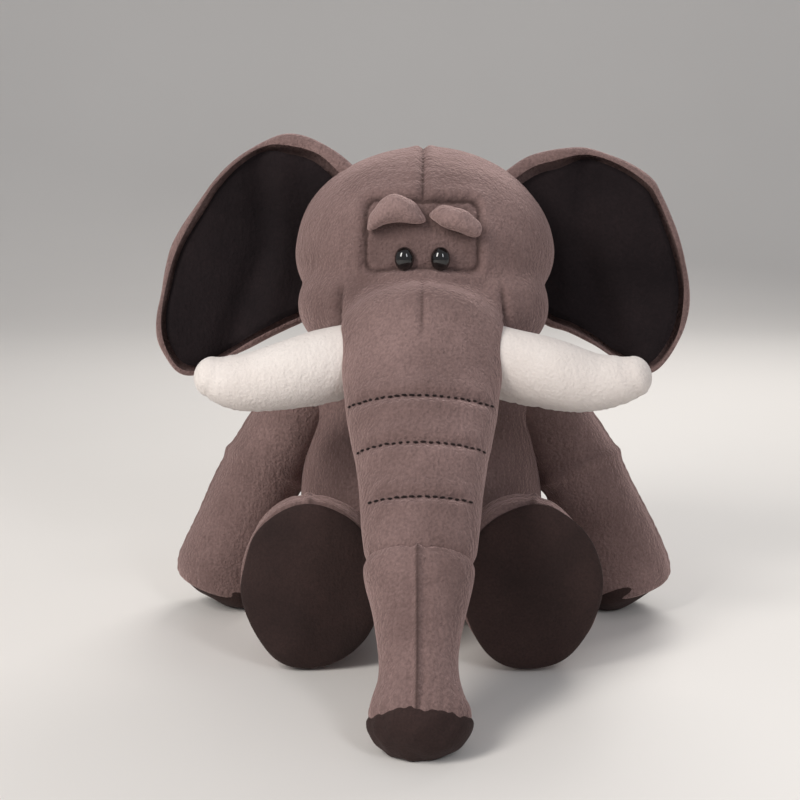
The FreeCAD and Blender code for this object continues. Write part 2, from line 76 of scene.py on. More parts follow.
_, head_high = span("head_panel_left", "head_panel_right")
HEAD_HALF = np.array([head_high[0], 0.914 * head_high[0], 0.786 * head_high[0]])
HEAD_MID = np.array([0.0, head_high[1] - HEAD_HALF[1], head_high[2] - HEAD_HALF[2]])
muzzle_low, muzzle_high = span("muzzle_panel_left", "muzzle_panel_right")
TRUNK_ROOT = joints["trunk_lift"]
TRUNK_BEND = joints["trunk_curl"]
LOWER_TILT = math.radians(34.5)
patch_low, patch_high = span("face_patch")


# ---- numpy helpers -----------------------------------------------------------------------------

def waves(points, size, seed, count=14):
    """Smooth random field, about -1 to 1, with features of roughly the given size in metres."""
    random = np.random.default_rng(seed)
    total = np.zeros(len(points))
    for _ in range(count):
        direction = random.normal(size=3)
        direction /= np.linalg.norm(direction)
        rate = 2 * math.pi / (size * random.uniform(0.75, 1.9))
        total += np.sin(points @ direction * rate + random.uniform(0, 2 * math.pi))
    return total / math.sqrt(count)


def smooth(value, start, end):
    """0 before start, 1 after end, eased in between."""
    t = np.clip((value - start) / (end - start), 0, 1)
    return t * t * (3 - 2 * t)


def catmull(rows, steps):
    """Rows of numbers joined by a smooth curve through them."""
    rows = np.array(rows, float)
    padded = np.vstack([2 * rows[0] - rows[1], rows, 2 * rows[-1] - rows[-2]])
    at = np.linspace(0, len(rows) - 1, steps)
    index = np.minimum(at.astype(int), len(rows) - 2)
    t = (at - index)[:, None]
    a, b, c, d = (padded[index + k] for k in range(4))
    return 0.5 * (2 * b + (c - a) * t + (2 * a - 5 * b + 4 * c - d) * t ** 2
                  + (3 * b - a - 3 * c + d) * t ** 3)


def coords(obj):
    out = np.empty(len(obj.data.vertices) * 3)
    obj.data.vertices.foreach_get("co", out)
    return out.reshape(-1, 3)


def normals(obj):
    out = np.empty(len(obj.data.vertices) * 3)
    obj.data.vertices.foreach_get("normal", out)
    return out.reshape(-1, 3)


def move(obj, points):
    obj.data.vertices.foreach_set("co", np.ascontiguousarray(points).ravel())
    obj.data.update()


def push(obj, amount):
    """Move each vertex along its normal."""
    move(obj, coords(obj) + normals(obj) * amount[:, None])


def keep_above(obj, height):
    """Flatten whatever hangs lower than a height, as the table does."""
    points = coords(obj)
    points[:, 2] = np.maximum(points[:, 2], height)
    move(obj, points)


def paint(obj, name, values):
    """Store one number per vertex for the material."""
    layer = obj.data.attributes.new(name, "FLOAT", "POINT")
    layer.data.foreach_set("value", np.clip(values, 0, 1).astype(np.float32))


def crease(distance, along, depth, width, seed, spacing=0.007):
    """Inward pull of a sewn seam, with the small puckers that run off it."""
    groove = -depth * np.exp(-(distance / width) ** 2)
    ripple = np.sin(2 * math.pi * along / spacing + 1.7 * np.sin(along * 310 + seed))
    puckers = 0.16 * depth * ripple * np.exp(-(distance / (2.6 * width)) ** 2)
    shoulder = 0.35 * depth * np.exp(-((distance - 2.4 * width) / (1.5 * width)) ** 2)
    return groove + puckers + shoulder


# ---- mesh builders -----------------------------------------------------------------------------

def new_object(name, verts, faces):
    mesh = bpy.data.meshes.new(name)
    mesh.from_pydata([tuple(v) for v in verts], [], faces)
    mesh.update()
    obj = bpy.data.objects.new(name, mesh)
    bpy.context.scene.collection.objects.link(obj)
    mesh.shade_smooth()
    return obj


def egg(name, middle, half, turn=None, rings=48, around=96):
    """Ellipsoid made of rings about its own Z axis."""
    verts = []
    for i in range(1, rings):
        polar = math.pi * i / rings
        for k in range(around):
            angle = 2 * math.pi * k / around
            verts.append((math.sin(polar) * math.cos(angle), math.sin(polar) * math.sin(angle),
                          math.cos(polar)))
    verts += [(0, 0, 1), (0, 0, -1)]
    points = np.array(verts) * np.array(half)
    if turn is not None:
        points = points @ np.array(turn.to_3x3()).T
    faces = ring_faces(rings - 1, around, len(verts) - 2, len(verts) - 1)
    return new_object(name, points + np.array(middle), faces)


def ring_faces(rings, around, first_pole, last_pole):
    faces = []
    for i in range(rings - 1):
        for k in range(around):
            n = (k + 1) % around
            faces.append((i * around + k, (i + 1) * around + k, (i + 1) * around + n,
                          i * around + n))
    for k in range(around):
        n = (k + 1) % around
        faces.append((first_pole, k, n))
        base = (rings - 1) * around
        faces.append((last_pole, base + n, base + k))
    return faces


def tube(name, stations, across=(1, 0, 0), around=72, along=70, round_start=0.8, round_end=0.8):
    """Stuffed limb through stations of (x, y, z, half width, half depth), closed by domes."""
    rows = catmull(stations, along)
    path, wide, deep = rows[:, :3], rows[:, 3], rows[:, 4]
    tangent = np.gradient(path, axis=0)
    tangent /= np.linalg.norm(tangent, axis=1)[:, None]
    side = np.array(across, float) - (tangent @ np.array(across, float))[:, None] * tangent
    side /= np.linalg.norm(side, axis=1)[:, None]
    front = np.cross(tangent, side)
    rings = []
    caps = 9
    for end, sign, bulge in ((0, -1, round_start), (-1, 1, round_end)):
        cap = []
        for k in range(1, caps):
            angle = 0.5 * math.pi * k / caps
            reach = bulge * min(wide[end], deep[end]) * math.sin(angle)
            cap.append((path[end] + sign * reach * tangent[end], math.cos(angle) * wide[end],
                        math.cos(angle) * deep[end], side[end], front[end]))
        rings.append(cap)
    body = [(path[i], wide[i], deep[i], side[i], front[i]) for i in range(along)]
    order = rings[0][::-1] + body + rings[1]
    angles = np.linspace(0, 2 * math.pi, around, endpoint=False)
    verts = []
    for middle, w, d, s, f in order:
        verts.append(middle + np.outer(np.cos(angles) * w, s) + np.outer(np.sin(angles) * d, f))
    verts = np.vstack(verts)
    small = min(wide[0], deep[0])
    tip0 = path[0] - round_start * small * tangent[0]
    tip1 = path[-1] + round_end * min(wide[-1], deep[-1]) * tangent[-1]
    verts = np.vstack([verts, tip0, tip1])
    return new_object(name, verts, ring_faces(len(order), around, len(verts) - 2, len(verts) - 1))


def apply_modifiers(obj):
    graph = bpy.context.evaluated_depsgraph_get()
    mesh = bpy.data.meshes.new_from_object(obj.evaluated_get(graph))
    old = obj.data
    obj.modifiers.clear()
    obj.data = mesh
    bpy.data.meshes.remove(old)
    obj.data.shade_smooth()
    return obj


def melt(name, parts, voxel=0.0026, soften=10, dense=True):
    """Join closed shapes into one even skin with rounded inner corners."""
    bm = bmesh.new()
    for part in parts:
        bm.from_mesh(part.data)
        mesh = part.data
        bpy.data.objects.remove(part)
        bpy.data.meshes.remove(mesh)
    mesh = bpy.data.meshes.new(name)
    bm.to_mesh(mesh)
    bm.free()
    obj = bpy.data.objects.new(name, mesh)
    bpy.context.scene.collection.objects.link(obj)
    remesh = obj.modifiers.new("even", "REMESH")
    remesh.mode = "VOXEL"
    remesh.voxel_size = voxel
    relax = obj.modifiers.new("relax", "SMOOTH")
    relax.factor = 0.5
    relax.iterations = soften
    if dense:
        obj.modifiers.new("finer", "SUBSURF").levels = 1
    return apply_modifiers(obj)


# ---- materials ---------------------------------------------------------------------------------

def value_range(tree, source, low_out, high_out, low_in=0.0, high_in=1.0):
    node = tree.nodes.new("ShaderNodeMapRange")
    node.inputs["From Min"].default_value = low_in
    node.inputs["From Max"].default_value = high_in
    node.inputs["To Min"].default_value = low_out
    node.inputs["To Max"].default_value = high_out
    tree.links.new(source, node.inputs["Value"])
    return node.outputs["Result"]


def noise(tree, scale, detail=3.0, stretch=(1, 1, 1)):
    where = tree.nodes.new("ShaderNodeTexCoord")
    mapping = tree.nodes.new("ShaderNodeMapping")
    mapping.inputs["Scale"].default_value = stretch
    node = tree.nodes.new("ShaderNodeTexNoise")
    node.inputs["Scale"].default_value = scale
    node.inputs["Detail"].default_value = detail
    tree.links.new(where.outputs["Object"], mapping.inputs["Vector"])
    tree.links.new(mapping.outputs["Vector"], node.inputs["Vector"])
    return node.outputs["Fac"]


def blend_colours(tree, factor, first, second):
    node = tree.nodes.new("ShaderNodeMix")
    node.data_type = "RGBA"
    tree.links.new(factor, node.inputs["Factor"])
    for socket, colour in ((node.inputs["A"], first), (node.inputs["B"], second)):
        if isinstance(colour, tuple):
            socket.default_value = (*colour, 1.0)
        else:
            tree.links.new(colour, socket)
    return node.outputs["Result"]


def cloth(name, light, dark, roughness=0.95, sheen=0.5, nap=700.0, nap_height=0.0013,
          speckle=0.45, mask=None, seam_shade_colour=(0.02, 0.015, 0.014)):
    """Napped cloth: patchy lie of the pile, fine tufts as bump, soft sheen at grazing angles."""
    material = bpy.data.materials.new(name)
    material.use_nodes = True
    tree = material.node_tree
    shader = tree.nodes["Principled BSDF"]
    patches = value_range(tree, noise(tree, 24.0, 4.0), 0.0, 1.0, 0.28, 0.74)
    tufts = noise(tree, nap, 4.0)
    streaks = noise(tree, nap * 0.45, 2.0, (1.0, 1.0, 0.35))
    colour = blend_colours(tree, patches, dark, light)
    speck = value_range(tree, tufts, 0.0, 1.0, 0.3, 0.68)
    darker = tuple(0.5 * c for c in dark)
    shade = tree.nodes.new("ShaderNodeMath")
    shade.operation = "MULTIPLY"
    shade.inputs[1].default_value = speckle
    tree.links.new(value_range(tree, speck, 1.0, 0.0), shade.inputs[0])
    colour = blend_colours(tree, shade.outputs[0], colour, darker)
    # painted shade: where the mask attribute is set, the colour is pulled towards the dark mask
    # colour, standing in for the shade in seam grooves and recesses
    if mask:
        layer = tree.nodes.new("ShaderNodeAttribute")
        layer.attribute_name = mask
        colour = blend_colours(tree, layer.outputs["Fac"], colour, seam_shade_colour)
    tree.links.new(colour, shader.inputs["Base Color"])
    tree.links.new(value_range(tree, tufts, roughness - 0.1, roughness), shader.inputs["Roughness"])
    shader.inputs["Specular IOR Level"].default_value = 0.15
    shader.inputs["Sheen Weight"].default_value = sheen
    shader.inputs["Sheen Roughness"].default_value = 0.45
    shader.inputs["Sheen Tint"].default_value = (*[min(1, 2.2 * c + 0.1) for c in light], 1.0)
    height = tree.nodes.new("ShaderNodeMath")
    height.operation = "ADD"
    tree.links.new(tufts, height.inputs[0])
    tree.links.new(streaks, height.inputs[1])
    bump = tree.nodes.new("ShaderNodeBump")
    bump.inputs["Strength"].default_value = 0.9
    bump.inputs["Distance"].default_value = nap_height
    tree.links.new(height.outputs[0], bump.inputs["Height"])
    tree.links.new(bump.outputs["Normal"], shader.inputs["Normal"])
    return material


def gloss(name, colour, roughness):
    material = bpy.data.materials.new(name)
    material.use_nodes = True
    tree = material.node_tree
    shader = tree.nodes["Principled BSDF"]
    shader.inputs["Base Color"].default_value = (*colour, 1.0)
    haze = value_range(tree, noise(tree, 90.0, 3.0), roughness, roughness + 0.06)
    tree.links.new(haze, shader.inputs["Roughness"])
    shader.inputs["Specular IOR Level"].default_value = 0.5
    shader.inputs["Coat Weight"].default_value = 0.35
    shader.inputs["Coat Roughness"].default_value = 0.03
    return material


TAUPE_LIGHT, TAUPE_DARK = (0.268, 0.177, 0.165), (0.140, 0.088, 0.081)
# the seam attribute of this plush and its dark colour are painted shade in seam grooves and
# recesses
TAUPE = cloth("taupe_plush", TAUPE_LIGHT, TAUPE_DARK, sheen=0.8, mask="seam",
              seam_shade_colour=(0.05, 0.03, 0.027))
SUEDE = cloth("dark_suede", (0.052, 0.030, 0.027), (0.026, 0.016, 0.015), sheen=0.25, nap=900.0,
              nap_height=0.0004)
VELVET = cloth("ear_velvet", (0.020, 0.013, 0.014), (0.009, 0.006, 0.007), sheen=0.3, nap=600.0,
               nap_height=0.0006)
WHITE = cloth("white_plush", (0.78, 0.72, 0.68), (0.68, 0.61, 0.57), sheen=0.3, nap=700.0,
              nap_height=0.0006, speckle=0.12)
THREAD = cloth("dark_thread", (0.030, 0.018, 0.017), (0.012, 0.008, 0.008), nap=2500.0,
               nap_height=0.0002)
# painted light: the brows use a lighter copy of the taupe plush, standing in for the light falling
# on their raised pads
BROW_PAINTED_LIGHT = cloth("brow_plush_painted_light", (0.350, 0.238, 0.222), (0.225, 0.148, 0.137), sheen=0.8)
EYE = gloss("eye_black", (0.006, 0.005, 0.005), 0.04)


def finish_piece(obj, body, material, nodes):
    obj.data.materials.clear()
    obj.data.materials.append(material)
    if body:
        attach(obj, body)
    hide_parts(*nodes)
    return obj


# ---- torso -------------------------------------------------------------------------------------

def build_torso():
    t_low, t_high = span("torso_panel_left", "torso_panel_right")
    w, d = t_high[0] - 0.0005, 0.5 * (t_high[1] - t_low[1])
    stations = [
        (0, 0, 0.028, w * 0.94, d * 0.94),
        (0, 0.000, 0.050, w * 1.03, d * 1.00),
        (0, 0.000, 0.082, w * 1.02, d * 0.96),
        (0, 0.002, 0.112, w * 0.90, d * 0.86),
        (0, 0.004, 0.140, w * 0.68, d * 0.72),
        (0, 0.004, 0.165, w * 0.48, d * 0.55),
    ]
    body = tube("torso_plush", stations, along=80, around=120, round_start=0.52, round_end=0.5)
    shoulders = [egg("shoulder_" + side, (sign * 0.040, 0.002, 0.127), (0.027, 0.026, 0.026))
                 for side, sign in SIDES.items()]
    torso = melt("torso_plush", [body, *shoulders], voxel=0.0032, soften=12)
    keep_above(torso, 0.0006)
    points = coords(torso)
    lumps = 0.0010 * waves(points, 0.07, 3) + 0.00015 * waves(points, 0.02, 4)
    seam = crease(np.abs(points[:, 0]), points[:, 2], 0.0016, 0.0018, 2)
    floor = smooth(points[:, 2], 0.001, 0.02)
    push(torso, (lumps + seam) * floor)
    # painted shade along the groove of the middle seam
    paint(torso, "seam", 0.8 * np.exp(-(np.abs(points[:, 0]) / 0.0011) ** 2))
    finish_piece(torso, "torso", TAUPE,
                 ["torso_panel_left", "torso_panel_right", "torso_seat_panel", "torso_stuffing",
                  "seat_pellet_bag"])
    hidden = egg("neck_fill", joints["neck_turn"], (0.02, 0.02, 0.02), rings=12, around=24)
    finish_piece(hidden, "neck", WHITE, ["neck_stuffing"])


# ---- head with the upper trunk -----------------------------------------------------------------

def trunk_frame():
    """Local axes of the trunk above its cross seam: down its length, and out of its front."""
    down = TRUNK_BEND - TRUNK_ROOT
    length = np.linalg.norm(down)
    down = down / length
    front = np.array([0.0, down[2], -down[1]])
    if front[1] > 0:
        front = -front
    return down, front, length


DOWN, FRONT, UPPER_LENGTH = trunk_frame()
UPPER_TRUNK_SHAPE = (
    # (fraction of the length, half width, half depth)
    (-0.06, 0.0420, 0.0300), (0.08, 0.0412, 0.0290), (0.22, 0.0388, 0.0275),
    (0.38, 0.0360, 0.0262), (0.57, 0.0322, 0.0248), (0.77, 0.0286, 0.0236),
    (0.94, 0.0263, 0.0226), (0.99, 0.0254, 0.0216),
)
# (fraction of the upper trunk's length, half length of the row across it)
STITCH_ROWS = ((0.325, 0.0350), (0.530, 0.0300), (0.765, 0.0240))


def stitch_offset(points, row):
    """Signed distance along the trunk from a stitched wrinkle that arches over its front."""
    local = points - TRUNK_ROOT
    along = local @ DOWN
    out = local @ FRONT
    return along - row * UPPER_LENGTH - 0.25 * (out - 0.012)


def patch_distance(points):
    """Distance outside the outline of the face patch, whose lower edge arches up in the middle."""
    corner = 0.006
    half = 0.5 * (patch_high - patch_low)
    arch = 0.0035 * (1 - (points[:, 0] / half[0]) ** 2)
    bottom = patch_low[2] + 0.0012 + np.maximum(arch, 0)
    middle = 0.5 * (bottom + patch_high[2])
    x = np.abs(points[:, 0]) - (half[0] - corner)
    z = np.abs(points[:, 2] - middle) - (0.5 * (patch_high[2] - bottom) - corner)
    outside = np.hypot(np.maximum(x, 0), np.maximum(z, 0)) + np.minimum(np.maximum(x, z), 0)
    return outside - corner


def build_head():
    skull = egg("skull", HEAD_MID, HEAD_HALF, around=128, rings=64)
    cheeks = [egg("cheek_" + side, (sign * 0.031, HEAD_MID[1] - 0.028, HEAD_MID[2] - 0.028),
                  (0.036, 0.036, 0.028)) for side, sign in SIDES.items()]
    muzzle_mid = 0.5 * (muzzle_low + muzzle_high)
    muzzle = egg("muzzle", (0, muzzle_mid[1] - 0.004, TRUNK_ROOT[2] + 0.006),
                 (0.0465, 0.036, 0.031))
    stations = [(0, *(TRUNK_ROOT + along * UPPER_LENGTH * DOWN)[1:], wide, deep)
                for along, wide, deep in UPPER_TRUNK_SHAPE]
    trunk = tube("upper", stations, round_start=0.9, round_end=0.25)
    head = melt("head_plush", [skull, *cheeks, muzzle, trunk], voxel=0.0026, soften=16)
    points = coords(head)
    facing = normals(head)[:, 1] < 0.1
    lumps = 0.0009 * waves(points, 0.07, 5) + 0.00012 * waves(points, 0.02, 6)
    # crown and muzzle seams down the middle
    brow_top = patch_high[2]
    crown = smooth(points[:, 2], brow_top - 0.004, brow_top + 0.004)
    crown = np.where(points[:, 1] > HEAD_MID[1], smooth(points[:, 2], 0.16, 0.175), crown)
    arc = np.arctan2(points[:, 1] - HEAD_MID[1], points[:, 2] - HEAD_MID[2]) * 0.065
    pull = crown * crease(np.abs(points[:, 0]), arc, 0.0017, 0.0017, 4)
    nose = smooth(-points[:, 1], 0.070, 0.084) * smooth(points[:, 2], 0.168, 0.182)
    pull += nose * crease(np.abs(points[:, 0]), arc, 0.0011, 0.0016, 5)
    # recessed patch behind the eyes
    gap = patch_distance(points)
    front = facing & (points[:, 1] < HEAD_MID[1] - 0.03)
    lower = smooth(points[:, 2], patch_low[2] - 0.010, patch_low[2] + 0.002)
    inside = np.where(front, smooth(-gap, -0.001, 0.004), 0)
    pull += -0.0026 * inside * lower
    ring = np.arctan2(points[:, 2] - 0.213, points[:, 0]) * 0.027
    pull += np.where(front, crease(np.abs(gap), ring, 0.0022, 0.0017, 6, 0.0055), 0)
    # seam from muzzle to cheek
    cheek = np.abs(points[:, 0]) - (0.0400 + 0.10 * (patch_low[2] - points[:, 2]))
    side = front * smooth(points[:, 2], 0.160, 0.168) * smooth(-points[:, 2], -0.194, -0.186)
    pull += side * crease(np.abs(cheek), points[:, 2], 0.0017, 0.0018, 8)
    # stitched wrinkles across the trunk
    stitched = np.zeros(len(points))
    for row, reach in STITCH_ROWS:
        offset = stitch_offset(points, row)
        onto = ((points - TRUNK_ROOT) @ FRONT > -0.004) * smooth(-np.abs(points[:, 0]), -reach,
                                                                 -reach + 0.006)
        stitched += onto * crease(np.abs(offset), points[:, 0], 0.0019, 0.0024, 9, 0.0048)
    push(head, lumps + pull + stitched)
    # painted shade: darker along the crown, nose and cheek seam grooves and the face patch's
    # outline
    dark = np.exp(-(np.abs(points[:, 0]) / 0.0009) ** 2) * np.maximum(crown, nose * 0.7)
    dark = np.maximum(dark, np.where(front, np.exp(-(gap / 0.0010) ** 2), 0))
    # painted shade in the lower part of the recessed face patch
    dark = np.maximum(dark, 0.28 * inside * lower)
    dark = np.maximum(dark, 0.8 * side * np.exp(-(cheek / 0.0010) ** 2))
    paint(head, "seam", dark)
    nodes = ["head_panel_left", "head_panel_right", "head_stuffing", "muzzle_panel_left",
             "muzzle_panel_right", "muzzle_stuffing", "face_patch", "trunk_upper_panel_left",
             "trunk_upper_panel_right", "trunk_upper_stuffing", "eye_washer_left",
             "eye_washer_right"]
    finish_piece(head, None, TAUPE, nodes)
    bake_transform(head)
    return head


def surface_tree(obj):
    bm = bmesh.new()
    bm.from_mesh(obj.data)
    tree = BVHTree.FromBMesh(bm)
    bm.free()
    return tree


def build_stitches(head):
    """Dashes of dark thread laid in the wrinkles across the trunk."""
    tree = surface_tree(head)
    dash, gap, radius = 0.0024, 0.0012, 0.00055
    for number, (row, reach) in enumerate(STITCH_ROWS, start=1):
        verts, faces = [], []
        spots = []
        for x in np.linspace(-reach, reach, 240):
            base = TRUNK_ROOT + DOWN * row * UPPER_LENGTH + FRONT * 0.05
            lift = 0.25 * (0.024 * math.sqrt(max(0, 1 - (x / 0.04) ** 2)) - 0.012)
            origin = base + DOWN * lift + np.array([x, 0, 0])
            hit, normal, _, _ = tree.ray_cast(Vector(origin), Vector(-FRONT), 0.2)
            if hit:
                spots.append((np.array(hit), np.array(normal)))
        travelled, pen, run = 0.0, [], []
        for (a, n), (b, _) in zip(spots, spots[1:]):
            travelled += float(np.linalg.norm(b - a))
            if travelled % (dash + gap) < dash:
                pen.append((b, n))
            elif pen:
                run.append(pen)
                pen = []
        for piece in run:
            if len(piece) < 3:
                continue
            first = len(verts)
            sides = 8
            for k, (spot, normal) in enumerate(piece):
                bulge = math.sin(math.pi * (k + 0.5) / len(piece)) ** 0.35
                direction = np.gradient(np.array([q[0] for q in piece]), axis=0)[k]
                direction /= np.linalg.norm(direction)
                second = np.cross(direction, normal)
                for s in range(sides):
                    angle = 2 * math.pi * s / sides
                    verts.append(spot + normal * (0.0006 + radius * bulge * math.cos(angle))
                                 + second * radius * bulge * math.sin(angle))
            count = len(piece)
            for k in range(count - 1):
                for s in range(sides):
                    n = (s + 1) % sides
                    a = first + k * sides
                    faces.append((a + s, a + n, a + sides + n, a + sides + s))
            faces.append(tuple(first + s for s in range(sides))[::-1])
            faces.append(tuple(first + (count - 1) * sides + s for s in range(sides)))
        obj = new_object(f"wrinkle_stitch_{number}", verts, faces)
        finish_piece(obj, "trunk_upper", THREAD, [f"trunk_wrinkle_stitch_{number}"])


# ---- face --------------------------------------------------------------------------------------

def build_face():
    for side, sign in SIDES.items():
        e_low, e_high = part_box("eye_" + side)
        x = 0.5 * (e_low[0] + e_high[0])
        z = 0.5 * (e_low[2] + e_high[2])
        eye = egg("eye_dome_" + side, (x, -0.0672, z), (0.0050, 0.0048, 0.0060))
        finish_piece(eye, "head", EYE, ["eye_" + side])
    looks = {
        "right": ((-0.0136, -0.0665, 0.2262), (0.0150, 0.0074, 0.0070), -8, 0.0075),
        "left": ((0.0166, -0.0660, 0.2235), (0.0142, 0.0070, 0.0058), 22, 0.0026),
    }
    for side, (middle, half, slant, arch) in looks.items():
        brow = egg("brow_pad_" + side, (0, 0, 0), half, around=64, rings=40)
        points = coords(brow)
        points[:, 2] += arch * (1 - (points[:, 0] / half[0]) ** 2) - 0.5 * arch
        curve = 0.5 * points[:, 0] ** 2 / 0.055
        points[:, 1] += curve
        points = points @ np.array(Matrix.Rotation(math.radians(slant), 3, "Y")).T
        move(brow, points + np.array(middle))
        points = coords(brow)
        push(brow, 0.0005 * waves(points, 0.010, 21 + int(sign)))
        paint(brow, "seam", np.zeros(len(points)))
        finish_piece(brow, "head", BROW_PAINTED_LIGHT, ["brow_" + side])


def build_tusks():
    for side, sign in SIDES.items():
        t_low, t_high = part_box("tusk_skin_" + side)
        reach = t_high[0] if sign > 0 else -t_low[0]
        y = 0.5 * (t_low[1] + t_high[1])
        rows = [
            (sign * 0.0340, y + 0.006, 0.1560, 0.0165, 0.0175),
            (sign * 0.0500, y + 0.003, 0.1520, 0.0165, 0.0180),
            (sign * 0.0680, y, 0.1480, 0.0158, 0.0168),
            (sign * 0.0850, y - 0.001, 0.1452, 0.0144, 0.0150),
            (sign * 0.0980, y - 0.002, 0.1460, 0.0130, 0.0130),
            (sign * (reach - 0.0125), y - 0.003, 0.1478, 0.0104, 0.0106),
        ]
        tusk = tube("tusk_plush_" + side, rows, across=(0, 1, 0), around=56, along=60,
                    round_start=0.3, round_end=0.85)
        points = coords(tusk)
        under = crease(np.abs(points[:, 1] - y), points[:, 0], 0.0012, 0.0014, 3, 0.0045)
        under *= smooth(0.150 - points[:, 2], 0.004, 0.010)
        push(tusk, 0.0008 * waves(points, 0.04, 31 + int(sign)) + under)
        finish_piece(tusk, "head", WHITE,
                     ["tusk_skin_" + side, "tusk_stuffing_" + side])


# ---- lower trunk -------------------------------------------------------------------------------

LOWER_TRUNK_LENGTH = 0.0720
LOWER_TRUNK_SHAPE = (
    # (fraction of the length, half width, half depth)
    (-0.02, 0.0250, 0.0214), (0.03, 0.0259, 0.0222), (0.14, 0.0248, 0.0218),
    (0.36, 0.0206, 0.0196), (0.58, 0.0182, 0.0186), (0.74, 0.0186, 0.0188),
    (0.88, 0.0216, 0.0196), (0.95, 0.0222, 0.0196), (1.02, 0.0205, 0.0186),
)


def build_lower_trunk():
    down = np.array([0, -math.sin(LOWER_TILT), -math.cos(LOWER_TILT)])
    length = LOWER_TRUNK_LENGTH
    rows = []
    for along, wide, deep in LOWER_TRUNK_SHAPE:
        rows.append((0, *(TRUNK_BEND + down * along * length)[1:], wide, deep))
    trunk = tube("trunk_lower_plush", rows, around=120, along=130, round_start=0.3, round_end=0.25)
    points = coords(trunk)
    along = (points - TRUNK_BEND) @ down
    front = np.cross(np.array([1.0, 0, 0]), down)
    if front[1] > 0:
        front = -front
    ahead = (points - TRUNK_BEND) @ front > 0
    lumps = 0.0006 * waves(points, 0.05, 41) + 0.0001 * waves(points, 0.02, 42)
    seam = crease(np.abs(points[:, 0] + 0.001), along, 0.0016, 0.0014, 7, 0.006)
    seam *= 1 - smooth(along, 0.86 * length, 0.96 * length)
    gathers = np.sin(points[:, 0] / 0.0047 * 2 * math.pi + 0.8 * np.sin(along * 200))
    gathered = ahead * 0.00035 * gathers * smooth(along, 0.62 * length, 0.97 * length)
    push(trunk, lumps + seam + gathered)
    # painted shade along the groove of the middle seam
    paint(trunk, "seam", np.exp(-((points[:, 0] + 0.001) / 0.0009) ** 2) * 0.9)
    finish_piece(trunk, None, TAUPE,
                 ["trunk_lower_panel_left", "trunk_lower_panel_right", "trunk_lower_stuffing"])
    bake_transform(trunk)
    end = TRUNK_BEND + down * (length - 0.0005)
    turn = Matrix.Rotation(math.atan2(-down[1], -down[2]), 4, "X")
    cap = egg("trunk_cap", (0, 0, 0), (0.0226, 0.0202, 0.0165), around=80)
    points = coords(cap) @ np.array(turn.to_3x3())
    back = points @ down
    points = points - down * np.minimum(back, 0)[:, None] * 0.55
    points = points + end
    points[:, 2] = np.maximum(points[:, 2], 0.0006)
    move(cap, points)
    points = coords(cap)
    push(cap, 0.0005 * waves(points, 0.02, 43) + 0.0003 * waves(points, 0.006, 44))
    finish_piece(cap, "trunk_lower", SUEDE, ["trunk_tip_cap"])


# ---- ears --------------------------------------------------------------------------------------

EAR_OUTLINE = {
    # (outwards from the head's middle plane, height), going round from the top of the seam
    "left": [(0.038, 0.244), (0.058, 0.262), (0.082, 0.268), (0.104, 0.261), (0.124, 0.243),
             (0.138, 0.216), (0.1455, 0.188), (0.143, 0.160), (0.132, 0.141), (0.121, 0.136),
             (0.108, 0.142), (0.094, 0.151), (0.080, 0.158), (0.068, 0.163), (0.060, 0.172),
             (0.060, 0.196), (0.056, 0.218), (0.044, 0.234)],
    "right": [(0.034, 0.247), (0.054, 0.267), (0.077, 0.272), (0.100, 0.259), (0.121, 0.235),
              (0.138, 0.207), (0.1450, 0.180), (0.1455, 0.156), (0.137, 0.138), (0.124, 0.135),
              (0.108, 0.143), (0.092, 0.152), (0.076, 0.160), (0.064, 0.166), (0.058, 0.176),
              (0.060, 0.198), (0.054, 0.220), (0.040, 0.237)],
}
# share of the height above 0.24 m that each ear's top loses
EAR_TOP_DROP = {"left": 0.30, "right": 0.18}


